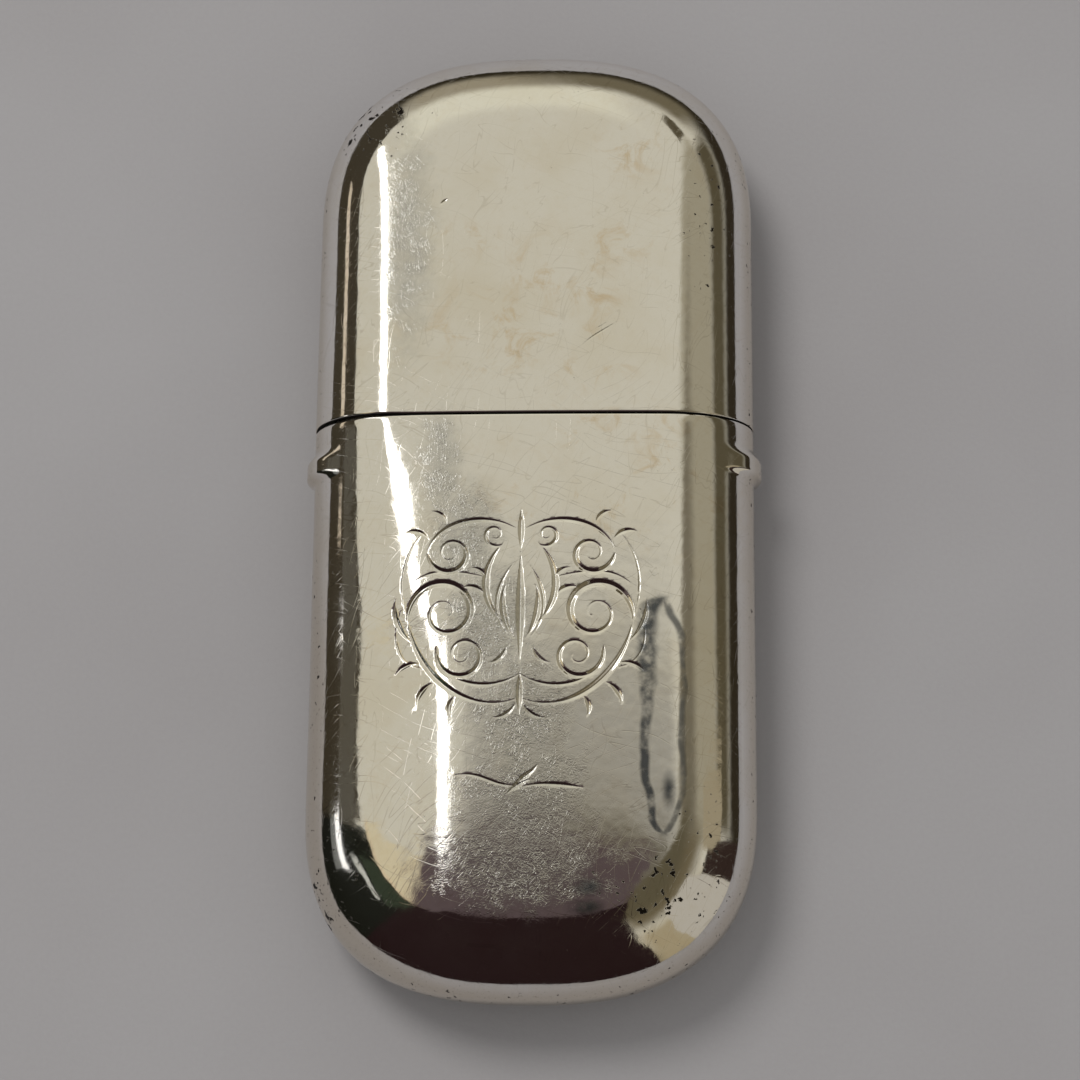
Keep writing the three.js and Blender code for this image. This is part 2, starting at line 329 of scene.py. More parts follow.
card("small_pale_card", screen(190, 190, 180), [(56, 181), (54, 197)], [(53.5, 181), (51.5, 197)])
card("warm_card", screen(206, 192, 170), [(75, 148), (74, 165)], [(70, 150), (69, 165)])
card("side_dark_flag", screen(26, 27, 22), [(42, 171), (34, 214)], [(100, 171), (100, 216)], radius=2.4)
card("green_card", screen(50, 57, 44), [(42, 179), (36, 201)], [(52, 180), (50, 201)])
card("warm_edge_card", screen(205, 188, 155), [(46, 170), (35, 201)], [(44.5, 169), (33.5, 200)],
     radius=1.39)
card("low_warm_card", screen(201, 189, 158), [(46, 170), (35, 201)], [(22, 160), (31, 199)])
card("near_dark_flag", screen(36, 24, 24),
     [(25.5, 162), (30.5, 181), (37, 198), (60, 209), (76, 212), (94, 214)],
     [(8, 65), (5, 0), (24, 298), (49, 297), (64, 299), (94, 300)], radius=1.3)
card("purple_card", screen(84, 72, 72), [(25.5, 162), (30.5, 181), (35.5, 196)],
     [(8, 65), (5, 0), (19, 298)], radius=1.29)
card("tall_pale_card", screen(176, 170, 157), [(33, 345), (62, 346.5), (91, 348)],
     [(33, 320), (58, 314), (91, 318)], radius=1.36)
card("narrow_dark_flag", screen(48, 37, 32), [(46, 1), (66, 1), (90, 1)], [(45, 346), (66, 347), (90, 348)])
card("tall_warm_card", screen(150, 139, 114), [(38, 17), (61, 13)], [(40, 359), (60, 357)])
card("small_dark_card", screen(80, 72, 54), [(58, 68), (56, 58)], [(50, 68), (46, 59)])

# %% [markdown]
# The floor is lit by a soft lamp from the upper left, and by an even pale sky from all
# round. The lamp is kept out of reflections, because its card is there already.

# %% Light
world = bpy.data.worlds.new("soft_light")
bpy.context.scene.world = world
world.use_nodes = True
background = world.node_tree.nodes["Background"]
background.inputs["Color"].default_value = (0.97, 0.98, 1.0, 1)
background.inputs["Strength"].default_value = 0.55
world.cycles_visibility.glossy = False

key_data = bpy.data.lights.new("key", "AREA")
key_data.shape = "DISK"
key_data.size = 0.45
key_data.energy = 5
key = bpy.data.objects.new("key", key_data)
bpy.context.scene.collection.objects.link(key)
key.location = toward(33, 128, 1.1)
key.rotation_euler = (-key.location).to_track_quat("-Z", "Y").to_euler()
key.visible_glossy = False

# %% [markdown]
# Both shells come from one form, like a pebble cut by a straight line. Seen from above it has straight
# sides and full round ends, and its edge is rounded over by half an ellipse. The form is drawn as
# rings, from the middle of the back, round the edge, to the middle of the front.

# %% Sizes of the case
case_high = Vector(cad_bounds[1])
_, body_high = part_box("body_shell")
cap_low, cap_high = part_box("cap_shell")
HALF_WIDTH = cap_high.x
HALF_LENGTH = case_high.y
MIDDLE_Z = case_high.z / 2
WALL = 0.6 * MM
EDGE_ROUND = 7.7 * MM
EDGE_POWER = 2.06
END_HEIGHT = 17.6 * MM
END_POWER = 2.55
CROWN = 0.5 * MM
STRAIGHT = HALF_LENGTH - END_HEIGHT
SEAM_Y = (body_high.y + cap_low.y) / 2
print("seam at", round(SEAM_Y / MM, 2), "mm")


def smooth(value, low, high):
    share = np.clip((value - low) / (high - low), 0, 1)
    return share * share * (3 - 2 * share)


def quarter(steps, power):
    """One quarter of a superellipse of size 1, from the side to the tip."""
    angle = np.linspace(0, math.pi / 2, steps + 1)
    across = np.cos(angle).clip(0) ** (2 / power)
    across[-1] = 0
    return across, np.sin(angle) ** (2 / power)


def plan_outline(depth, end_steps, rows):
    """Points round the case at one depth in from its side, with the straight sides' points at the rows."""
    half = HALF_WIDTH - depth
    inner_end = END_HEIGHT - EDGE_ROUND
    end = END_HEIGHT - depth if depth <= EDGE_ROUND else inner_end * half / (HALF_WIDTH - EDGE_ROUND)
    across, along = quarter(end_steps, END_POWER)
    arc_x = np.concatenate([half * across, -half * across[-2::-1]])
    arc_y = STRAIGHT + end * np.concatenate([along, along[-2::-1]])
    side = np.array(rows)
    x = np.concatenate([arc_x, np.full(len(side), -half), -arc_x, np.full(len(side), half)])
    y = np.concatenate([arc_y, side, -arc_y, side[::-1]])
    return x, y


def form_rings(inset, rows, end_steps=44, edge_steps=26, crown_steps=14, back_steps=3):
    """The case's form, moved in by inset, and how far up the rounded edge each ring is, in degrees."""
    half_height = MIDDLE_Z - inset
    across, up = quarter(edge_steps, EDGE_POWER)
    edge_depths = inset + (EDGE_ROUND - inset) * (1 - across)
    inner = HALF_WIDTH - EDGE_ROUND

    def crown(depth):
        return CROWN * (1 - ((HALF_WIDTH - depth) / (HALF_WIDTH - inset)) ** 2)

    stations = [(EDGE_ROUND + inner * k / back_steps, MIDDLE_Z - half_height, -90)
                for k in range(back_steps, 0, -1)]
    for i in range(edge_steps, -1, -1):
        stations.append((edge_depths[i], MIDDLE_Z - half_height * up[i], -90 * i / edge_steps))
    for i in range(1, edge_steps + 1):
        height = MIDDLE_Z + (half_height - CROWN) * up[i] + crown(edge_depths[i])
        stations.append((edge_depths[i], height, 90 * i / edge_steps))
    for k in range(1, crown_steps + 1):
        depth = EDGE_ROUND + inner * k / crown_steps
        stations.append((depth, MIDDLE_Z + half_height - CROWN + crown(depth), 90))
    rings = []
    for depth, height, _ in stations:
        x, y = plan_outline(depth, end_steps, rows)
        rings.append(np.column_stack([x, y, np.full(len(x), height)]))
    return np.array(rings), np.array([angle for _, _, angle in stations])


def outward(rings):
    """The direction that the form faces at each point of its rings."""
    round_the_case = np.roll(rings, -1, axis=1) - np.roll(rings, 1, axis=1)
    up_the_edge = np.gradient(rings, axis=0)
    facing = np.cross(round_the_case, up_the_edge)
    length = np.linalg.norm(facing, axis=2, keepdims=True)
    facing = facing / np.maximum(length, 1e-15)
    facing[0] = (0, 0, -1)
    facing[-1] = (0, 0, 1)
    return facing


# %% [markdown]
# Years in a pocket have pressed the lower left of the front a little flat, so the long highlight leans
# inwards there. The drop is worked out along the width, as a slope that sets in softly and ends before
# the edge, and it fades out towards the seam. The sleeve inside is pressed with the body, and only ever
# moves up to where the body is less pressed, so it still slides.

# %% Pressed shoulder
PRESS_SLOPE = 0.16
PRESS_TOP = 8 * MM
PRESS_FADE = 7.5 * MM
PRESS_REACH = 12.5 * MM
PRESS_WIDENS = 3.4 * MM
PRESS_WIDENS_FROM = 4 * MM
PRESS_WIDENS_TO = 18 * MM
PRESS_START = 5 * MM
EDGE_REACH = 6.5 * MM
EDGE_START = 3.5 * MM


def soft_ramp(value, width):
    """0 below nothing, rising as fast as value above width, with a soft start between them."""
    share = np.clip(value / width, 0, 1)
    return width * (share ** 3 - share ** 4 / 2) + np.maximum(value - width, 0)


def press(x, y, z):
    """The height of a point after the lower left of the front was pressed in."""
    depth = x + HALF_WIDTH
    reach = PRESS_REACH + PRESS_WIDENS * smooth(-y, PRESS_WIDENS_FROM, PRESS_WIDENS_TO)
    drop = soft_ramp(reach - depth, PRESS_START) - soft_ramp(EDGE_REACH - depth, EDGE_START)
    drop = PRESS_SLOPE * drop * (1 - np.exp(-np.maximum(PRESS_TOP - y, 0) / PRESS_FADE))
    return z - drop * np.clip(z / MIDDLE_Z, 0, 1)


def press_rings(rings):
    rings[..., 2] = press(*np.moveaxis(rings, 2, 0))


# %% [markdown]
# A ring is modelled as by hand: a circle is added, and its edge is pulled out once for each further
# ring. Every point remembers its column, so each pulled ring can be laid where the form wants it.

# %% Modelling helpers
TOUCHING = 0.001 * MM
SAME_POINT = 0.002 * MM
HAIR = 0.01 * MM


def pick(thing):
    """Makes a piece the active one, and the only one selected."""
    for other in bpy.context.view_layer.objects:
        other.select_set(other == thing)
    bpy.context.view_layer.objects.active = thing


def edit(thing, action=None):
    """Goes into edit mode. The action SELECT or DESELECT goes for the whole mesh."""
    pick(thing)
    bpy.ops.object.mode_set(mode="EDIT")
    if action:
        bpy.ops.mesh.select_all(action=action)
    return bmesh.from_edit_mesh(thing.data)


def leave_edit():
    bpy.ops.object.mode_set(mode="OBJECT")


def select_where(thing, kind, wanted):
    """Goes into edit mode with only those verts, edges or faces selected that wanted says yes to."""
    edit(thing, "DESELECT")
    bpy.ops.mesh.select_mode(type=kind)
    mesh = bmesh.from_edit_mesh(thing.data)
    for element in {"VERT": mesh.verts, "EDGE": mesh.edges, "FACE": mesh.faces}[kind]:
        element.select = wanted(element)
    bmesh.update_edit_mesh(thing.data)


def apply_modifier(thing, kind, **settings):
    pick(thing)
    modifier = thing.modifiers.new(kind.lower(), kind)
    for key, value in settings.items():
        setattr(modifier, key, value)
    bpy.ops.object.modifier_apply(modifier=modifier.name)


def copy_of(thing, name):
    """A copy with a mesh of its own."""
    made = thing.copy()
    made.data = thing.data.copy()
    made.name = name
    bpy.context.scene.collection.objects.link(made)
    return made


def soften_edges(thing, width, segments, degrees):
    apply_modifier(thing, "BEVEL", width=width, segments=segments, limit_method="ANGLE",
                   angle_limit=math.radians(degrees))


def smooth_by_angle(thing, degrees=35):
    pick(thing)
    bpy.ops.object.shade_smooth_by_angle(angle=math.radians(degrees))


def raise_rings(name, rings):
    """A skin through rings of points: a circle, and its edge extruded once for each further ring."""
    bpy.ops.mesh.primitive_circle_add(vertices=rings.shape[1], radius=HALF_WIDTH)
    skin = bpy.context.object
    skin.name = name
    mesh = edit(skin)
    column = mesh.verts.layers.int.new("column")
    for i, vertex in enumerate(mesh.verts):
        vertex[column] = i
    for k, ring in enumerate(rings):
        if k:
            bpy.ops.mesh.extrude_edges_move()
            mesh = bmesh.from_edit_mesh(skin.data)
            column = mesh.verts.layers.int["column"]
        for vertex in mesh.verts:
            if vertex.select:
                vertex.co = ring[vertex[column]]
        bmesh.update_edit_mesh(skin.data)
    bpy.ops.mesh.select_all(action="SELECT")
    bpy.ops.mesh.remove_doubles(threshold=SAME_POINT)
    bpy.ops.mesh.normals_make_consistent(inside=False)
    leave_edit()
    bpy.ops.object.shade_smooth()
    return skin


def cut_across(thing, y, keep_above):
    """Cuts a piece straight across at y and keeps one side."""
    edit(thing, "SELECT")
    bpy.ops.mesh.bisect(plane_co=(0, y, 0), plane_no=(0, 1, 0), clear_inner=keep_above,
                        clear_outer=not keep_above)
    leave_edit()


# %% [markdown]
# The catch's nib needs a hollow in the body's wall, and it shows outside as a swell across each narrow
# side, just below the seam: a gentle flank towards the seam, a flat top and a steep flank below.

# %% Swell
SWELL_TOP = SEAM_Y - 2.0 * MM
SWELL_RISE = 1.3 * MM
SWELL_FLAT = 1.1 * MM
SWELL_FALL = 0.7 * MM
SWELL_PROUD = 0.7 * MM
SWELL_LOW = SWELL_TOP - SWELL_RISE - SWELL_FLAT - SWELL_FALL
SWELL_FULL_ANGLE = 22
SWELL_END_ANGLE = 53


def swell_along(y):
    return smooth(SWELL_TOP - y, 0, SWELL_RISE) * smooth(y - SWELL_LOW, 0, SWELL_FALL)


def swell_around(angle):
    return 1 - smooth(np.abs(angle), SWELL_FULL_ANGLE, SWELL_END_ANGLE)


# %% [markdown]
# At the seam both mouths are drawn in a little, and wear has rounded their edges. The seam is a hairline
# on the right and opens on the left, where the mouths have been knocked.

# %% Mouths
MOUTH_GAP = 0.2 * MM
MOUTH_KNOCK = 0.1 * MM
MOUTH_REACH = 1.5 * MM
KNOCK_ACROSS = (9 * MM, 17 * MM)
KNOCK_UP = (3 * MM, 7 * MM)
LIP = 0.06 * MM
FINE_ROW = 0.16 * MM
COARSE_ROW = 0.85 * MM
FINE_ABOVE_SEAM = 1.2 * MM
FINE_BELOW_SWELL = 0.3 * MM
LIP_FACE = 0.05 * MM
ALONG_CASE = 0.95
BODY_ROLL = (0.8 * MM, 0.035 * MM)
CAP_ROLL = (0.5 * MM, 0.01 * MM)


def mouth_pull(x, z):
    """How far each mouth stands back from the middle of the seam."""
    knocked = smooth(-x, *KNOCK_ACROSS) * smooth(z, *KNOCK_UP)
    return MOUTH_GAP / 2 + MOUTH_KNOCK * knocked


def rows_between(high, low, spacing):
    return list(np.linspace(high, low, max(2, round((high - low) / spacing) + 1)))


def shell_rings(mouth_side):
    """Rings of the outer skin of one shell. mouth_side is 1 for the cap, which is above the seam."""
    fine_end = SEAM_Y + FINE_ABOVE_SEAM if mouth_side > 0 else SWELL_LOW - FINE_BELOW_SWELL
    fine_high, fine_low = max(SEAM_Y, fine_end), min(SEAM_Y, fine_end)
    above = rows_between(STRAIGHT, fine_high, COARSE_ROW)[1:]
    middle = rows_between(fine_high, fine_low, FINE_ROW)[1:]
    below = rows_between(fine_low, -STRAIGHT, COARSE_ROW)[1:-1]
    rings, angles = form_rings(0.0, above + middle + below)
    y = rings[..., 1]
    reach, sink = CAP_ROLL if mouth_side > 0 else BODY_ROLL
    from_mouth = np.clip(mouth_side * (y - SEAM_Y) / reach, 0, 1)
    offset = -sink * (1 - from_mouth) ** 2
    if mouth_side < 0:
        offset = offset + SWELL_PROUD * swell_along(y) * swell_around(angles)[:, None]
    rings = rings + outward(rings) * offset[..., None]
    x, y, z = np.moveaxis(rings, 2, 0)
    near_mouth = 1 - smooth(mouth_side * (y - SEAM_Y), 0, MOUTH_REACH)
    y = y + mouth_side * mouth_pull(x, z) * near_mouth
    if mouth_side < 0:
        z = press(x, y, z)
    return np.stack([x, y, z], axis=2)


def make_shell(name, mouth_side):
    shell = raise_rings(name, shell_rings(mouth_side))

    def from_lip(place):
        """How far a place lies inside its shell, counted from the mouth."""
        return mouth_side * (place.y - SEAM_Y) - mouth_pull(place.x, place.z)

    select_where(shell, "VERT", lambda vertex: from_lip(vertex.co) < -HAIR)
    bpy.ops.mesh.delete(type="VERT")
    leave_edit()
    apply_modifier(shell, "SOLIDIFY", thickness=WALL, offset=-1, use_even_offset=True)
    soften_edges(shell, LIP, 2, 60)
    shell.data.materials.append(silver)
    shell.data.materials.append(seam_tarnish)
    for face in shell.data.polygons:
        at_mouth = abs(from_lip(face.center)) < LIP_FACE
        face.material_index = int(at_mouth and abs(face.normal.y) > ALONG_CASE)
    return shell


# %% [markdown]
# The front carries an engraved ornament, a plain leafy scroll that is drawn for one half and mirrored. An
# engraver leans on the tool to widen the cut, so each line is a curve with a width that swells and dies
# away. The cuts are real grooves in the mesh.

# %% Engraver's lines
ORNAMENT_MIDDLE = Vector((-0.7, -10.9))
CURVE_STEPS = 60


def bend(a, b, c, d):
    """A curve that leaves a towards b and reaches d from c."""
    t = np.linspace(0, 1, CURVE_STEPS)[:, None]
    a, b, c, d = [np.array(point, dtype=float) for point in (a, b, c, d)]
    return a * (1 - t) ** 3 + 3 * b * t * (1 - t) ** 2 + 3 * c * t * t * (1 - t) + d * t ** 3


def curl(middle, radius, end_radius, start, sweep):
    """A spiral round a middle point, from one radius to another. Angles are in degrees."""
    t = np.linspace(0, 1, 2 * CURVE_STEPS)
    angle = np.radians(start + sweep * t)
    size = radius + (end_radius - radius) * t ** 0.8
    return np.column_stack([middle[0] + size * np.cos(angle), middle[1] + size * np.sin(angle)])


def leaf(root, tip, belly):
    """A leaf's single cut, bowed sideways by belly."""
    root, tip = np.array(root, dtype=float), np.array(tip, dtype=float)
    along = tip - root
    aside = np.array((-along[1], along[0])) * belly
    return bend(root, root + along * 0.3 + aside, root + along * 0.75 + aside, tip)


def run_along(points):
    """The distance along a line at each of its points."""
    return np.concatenate([[0], np.cumsum(np.linalg.norm(np.diff(points[:, :2], axis=0), axis=1))])


def cut(points, thick, thin=0.1, peak=0.5):
    """Gives a line its width: thin at its ends and half as much again as thick at its peak."""
    run = run_along(points)
    share = run / run[-1]
    power = math.log(0.5) / math.log(peak)
    width = thin + (1.5 * thick - thin) * np.sin(math.pi * share ** power) ** 1.4
    return np.column_stack([points, width])


half_ornament = [
    cut(bend((0.4, -7.9), (4.6, -9.4), (9.2, -5.6), (9.9, -0.6)), 0.42, peak=0.55),
    cut(curl((6.6, -0.1), 3.4, 0.45, 350, 590), 0.5, peak=0.3),
    cut(bend((0.0, -5.6), (2.6, -7.4), (6.2, -6.6), (7.4, -4.2)), 0.26),
    cut(curl((5.0, -3.9), 2.45, 0.4, 20, -560), 0.36, peak=0.3),
    cut(bend((0.5, 7.6), (3.4, 9.3), (7.6, 8.2), (8.3, 5.4)), 0.34),
    cut(curl((6.2, 5.3), 2.1, 0.35, 2, -540), 0.4, peak=0.28),
    cut(bend((0.9, -1.6), (3.6, 0.6), (3.8, 3.8), (1.5, 6.3)), 0.44),
    cut(bend((1.0, -2.2), (2.6, -0.2), (2.3, 2.2), (0.7, 4.3)), 0.24),
    cut(curl((2.3, 7.0), 1.15, 0.3, 230, 430), 0.26, peak=0.35),
    cut(bend((3.4, 3.2), (5.2, 3.6), (7.8, 4.2), (9.6, 2.6)), 0.22),
    cut(bend((9.9, -0.6), (10.9, 2.2), (10.6, 5.2), (8.6, 7.3)), 0.13),
    cut(bend((8.7, -5.0), (10.9, -4.6), (11.4, -2.2), (10.5, 0.2)), 0.13),
] + [cut(leaf(*shape), thick) for *shape, thick in (
    ((9.6, -2.6), (11.0, 1.2), -0.18, 0.34),
    ((8.9, -4.6), (10.9, -5.6), 0.22, 0.32),
    ((7.6, -6.4), (8.9, -8.3), 0.22, 0.34),
    ((5.6, -7.6), (5.9, -9.4), 0.24, 0.3),
    ((8.2, 6.6), (10.2, 7.3), 0.25, 0.3),
    ((6.6, 8.1), (7.9, 9.2), 0.22, 0.28),
    ((3.1, 1.4), (5.0, 2.2), 0.25, 0.3),
    ((2.9, 2.6), (4.3, 4.0), 0.25, 0.28),
    ((1.2, -3.2), (2.6, -4.6), -0.22, 0.28),
    ((0.5, -2.4), (1.3, 2.4), -0.16, 0.42),
    ((0.35, -8.3), (2.2, -9.5), -0.2, 0.26))]
middle_lines = [cut(leaf((0, low), (0, high), 0.0), thick)
                for low, high, thick in ((-4.6, 5.4, 0.55), (5.6, 9.4, 0.4), (-5.4, -9.2, 0.4))]
MIRROR_X = np.array((-1, 1, 1))
ornament = half_ornament + [line * MIRROR_X for line in half_ornament] + middle_lines
ornament = [line + (*ORNAMENT_MIDDLE, 0) for line in ornament]

# %% [markdown]
# Lower down, a slip of some tool has gouged the silver: a ragged shallow furrow and a short deep cut. The
# cap has a long curved scratch, a shorter one beside it and a nick.

# %% Gouge
gouge = [cut(bend((-6.2, -25.5), (-3.6, -25.1), (-3.2, -26.6), (-0.6, -26.4)), 0.22),
         cut(bend((-1.3, -26.8), (-0.4, -25.6), (0.6, -25.3), (0.9, -24.6)), 0.34),
         cut(bend((-0.9, -26.7), (0.6, -26.1), (2.6, -26.2), (4.9, -26.6)), 0.30, peak=0.62),
         cut(leaf((-1.6, -27.1), (0.3, -25.9), 0.1), 0.36)]
engraved = [line * MM for line in ornament + gouge]
scratched = [cut(bend((8.4, 16.6), (6.8, 15.3), (5.2, 14.8), (3.9, 13.1)), 0.12, 0.03),
             cut(bend((7.5, 16.5), (6.6, 15.8), (5.6, 15.3), (4.9, 14.9)), 0.08, 0.03),
             cut(leaf((-8.5, 27.6), (-7.8, 28.2), 0.0), 0.22)]
scratched = [line * MM for line in scratched]
print("engraved", len(engraved), "lines,", round(sum(run_along(line)[-1] for line in engraved) / MM), "mm")

# %% [markdown]
# A groove a third of a millimetre wide needs faces much smaller than that, but only there. So the front's
# faces near a line are subdivided twice, and each point there is sunk by the groove's depth.

# %% Engraving
GROOVE_SLOPE = 0.38
FACES_UP = 0.8
LEANS_UP = 0.5
ROUGH_CUTS = 4
FINE_CUTS = 2
ROUGH_REACH = 0.5 * MM
FINE_REACH = 0.05 * MM
POINT_SPACING = 0.06 * MM


def line_finder(lines):
    """A search tree of points along all the lines, and the width of the cut at each."""
    spaced = []
    for line in lines:
        run = run_along(line)
        stops = np.linspace(0, run[-1], max(4, int(run[-1] / POINT_SPACING)))
        spaced.append(np.column_stack([np.interp(stops, run, line[:, i]) for i in range(3)]))
    points = np.vstack(spaced)
    finder = kdtree.KDTree(len(points))
    for i, (x, y, _) in enumerate(points):
        finder.insert((x, y, 0), i)
    finder.balance()
    return finder, points[:, 2]


def front_height(x, y):
    return press(x, y, 2 * MIDDLE_Z - CROWN * (x / HALF_WIDTH) ** 2)


def engrave(shell, lines):
    finder, widths = line_finder(lines)
    widest = widths.max()

    def near(face, reach):
        if face.normal.z < FACES_UP:
            return False
        middle = face.calc_center_median()
        _, i, away = finder.find((middle.x, middle.y, 0))
        return away < reach + widths[i] / 2

    for cuts, reach in ((ROUGH_CUTS, ROUGH_REACH), (FINE_CUTS, FINE_REACH)):
        select_where(shell, "FACE", lambda face: near(face, reach))
        bpy.ops.mesh.subdivide(number_cuts=cuts)
        leave_edit()
    mesh = edit(shell)
    sunk = 0
    for vertex in mesh.verts:
        x, y, z = vertex.co
        if vertex.normal.z < LEANS_UP or z < MIDDLE_Z:
            continue
        depth = 0
        for _, i, away in finder.find_range((x, y, 0), widest / 2):
            depth = max(depth, widths[i] / 2 - away)
        if depth > 0:
            vertex.co.z = front_height(x, y) - depth * GROOVE_SLOPE
            sunk += 1
    bmesh.update_edit_mesh(shell.data)
    leave_edit()
    print("engraved", sunk, "points,", len(shell.data.polygons), "faces")

# %% [markdown]
# Old polished silver has four layers to its look. The metal is nearly white and a true mirror. A thin
# warm tarnish lies over it in clouds and small stains. Hairline scratches spread the lamp's reflection
# into a silky haze where they lie thickest, and there the colour is also painted grey, a painted shade
# that stands in for the dim hazy reflection. Last come black specks, where the polish never reached.

# %% Places on the front
HAZE_AND_SHADE_SPOTS = ((-11.2, 24, 1.9, 9), (-7.9, 2.5, 1.7, 4.5), (-5.6, -4, 2.6, 4.5), (-3.4, -12, 3.3, 5),
              (-0.4, -20, 4.0, 5), (-0.2, -27, 4.8, 4.2), (-0.4, -33.6, 6.4, 3.8))
SMUDGE_SPOTS = ((5.4, -35.2, 0.9, 0.6), (5.2, -36.9, 1.1, 0.5), (12.3, -26.8, 0.45, 1.1))
STAIN_SPOTS = ((-6.5, 24, 2.5, 1.2), (7.5, 24, 2.4, 1.6), (5.5, 18.5, 2.0, 1.5), (6.0, 6.2, 6.5, 1.3),
               (5.2, 11.5, 2.8, 1.4), (2, 21, 3.4, 2.2), (-2, 15, 6, 3), (12.5, 2.2, 2.5, 2.5),
               (6.5, -1.5, 9, 2.4), (8.5, 33, 2.5, 2))
SPECK_SPOTS = ((-15, 37, 4.0, 4.0), (-17, -35, 2.6, 4.5), (11.5, -36, 5.0, 2.8), (15, -31, 2.0, 3.5),
               (16, 27, 2.0, 7), (5.5, -33.2, 1.2, 1.2))
LARGE_SPECK_SPOTS = ((12.6, -36, 3.6, 3.0), (-15.5, 37.5, 3.4, 3.0), (-18, -36, 2.0, 3.0))


def spot(look, x, y, half_width, half_length):
    """1 in the middle of an oval on the front, falling to 0 at twice its half-width and half-length."""
    flat = look.moved(look.place, Location=(-x / half_width, -y / half_length, 0),
                      Scale=(1 / half_width, 1 / half_length, 0))
    return look.step(look.vector("LENGTH", {0: flat})["Value"], 2, 0.2)


def spots(look, places):
    """The strongest of several ovals."""
    return look.largest(*[spot(look, *place) for place in places])


def wander(look, scale, reach, detail=0.0):
    """The place on the piece, pushed about in swirls, so that what is drawn there bends."""
    swirl = look.noise(scale, detail, 0.7, output="Color")
    swirl = look.vector("SCALE", {0: swirl, "Scale": reach})[0]
    return look.vector("ADD", {0: look.place, 1: swirl})[0]


def hairlines(look, place, angle, length, spacing, width, seed):
    """Thin curved scratches that run one way: the contour lines of a stretched noise."""
    turned = look.moved(place, Location=(seed, 0, seed), Rotation=(0, 0, math.radians(angle)))
    squeezed = look.moved(turned, Scale=(1 / length, 1 / spacing, 1 / length))
    value = look.noise(1.0, 1.0, 0.4, place=squeezed)
    return look.step(look.size_of(look.minus(value, 0.5)), width, 0)


def scratches(look, kinds):
    """Several sets of hairlines laid over each other and bent."""
    bent = wander(look, 0.13, 4.0)
    return look.largest(*[hairlines(look, bent, *kind) for kind in kinds])


# %% [markdown]
# The long loop on the lower right of the front is a blue-grey stain, as if something had lain against the
# metal. It is drawn as a narrow ring, bent by a slow noise, thick at its top and on its left.

# %% Loop stain
LOOP_X = 11.9
LOOP_LOW = -30.5
LOOP_HIGH = -9.6
LOOP_HALF_WIDTH = 1.7
LOOP_SWAY = 2.4


def loop_stain(look):
    x, y, _ = look.parts(look.place)
    bent = look.times_plus(look.minus(look.noise(0.16, 2.0), 0.5), LOOP_SWAY, x)
    share = look.node("MapRange", {"Value": y, "From Min": LOOP_LOW, "From Max": LOOP_HIGH,
                                   "To Min": -1.0, "To Max": 1.0}, clamp=False)[0]
    left_over = look.largest(look.minus(1.0, look.times(share, share)), 0.0)
    half = look.times(look.math("SQRT", left_over), LOOP_HALF_WIDTH)
    from_middle = look.minus(bent, LOOP_X)
    left = look.size_of(look.math("ADD", from_middle, half))
    right = look.size_of(look.minus(from_middle, half))
    thick = look.node("MapRange", {"Value": share, "From Min": -1.0, "To Min": 0.35, "To Max": 1.25})[0]
    left_line = look.step(look.math("DIVIDE", left, thick), 1.0, 0.35)
    right_line = look.times(look.step(right, 0.42, 0.1), 0.8)
    inside = look.step(look.size_of(share), 1.04, 0.98)
    return look.times(look.largest(left_line, right_line), inside)


# %% [markdown]
# The recipe is shared by both shells. The scratches are put together first, because they change the
# sheen and the surface as well as the colour.

# %% Silver
CLEAN_SILVER = (0.91, 0.895, 0.88, 1)
WARM_SILVER = (0.86, 0.825, 0.765, 1)
HAZE_PAINTED_SHADE = (0.57, 0.57, 0.565, 1)
TAN_STAIN = (0.76, 0.63, 0.47, 1)
SCRATCH_BROWN = (0.45, 0.4, 0.33, 1)
SPECK_BLACK = (0.03, 0.026, 0.022, 1)
LOW_TARNISH = (0.68, 0.62, 0.53, 1)
BROWN_DUST = (0.3, 0.24, 0.17, 1)
LOOP_GREY = (0.055, 0.07, 0.095, 1)
RIM_TOP = 10.3
RIM_LOW = 8.0
LONG_HAIRLINES = ((20, 14, 1.5, 0.006, 3), (-48, 12, 1.4, 0.006, 11), (105, 13, 1.6, 0.006, 23))
FINE_HAIRLINES = ((32, 2.2, 0.32, 0.07, 5), (-14, 1.8, 0.28, 0.07, 17), (78, 2.0, 0.3, 0.07, 29),
                  (124, 1.8, 0.28, 0.07, 43))


def specks(look, amount, scale, rarity):
    """Black specks of many sizes with ragged edges, thick where amount is 1 and rare where it is 0."""
    ragged = wander(look, 1.2 * scale, 1.7 / scale, 3.0)
    cells = look.node("TexVoronoi", {"Vector": ragged, "Scale": scale})
    chance = look.parts(cells["Color"])["X"]
    size = look.times(look.math("POWER", chance, rarity), look.times_plus(amount, 0.9, 0.1))
    return look.step(look.minus(cells["Distance"], look.times(size, 0.42)), 0.02, -0.04)


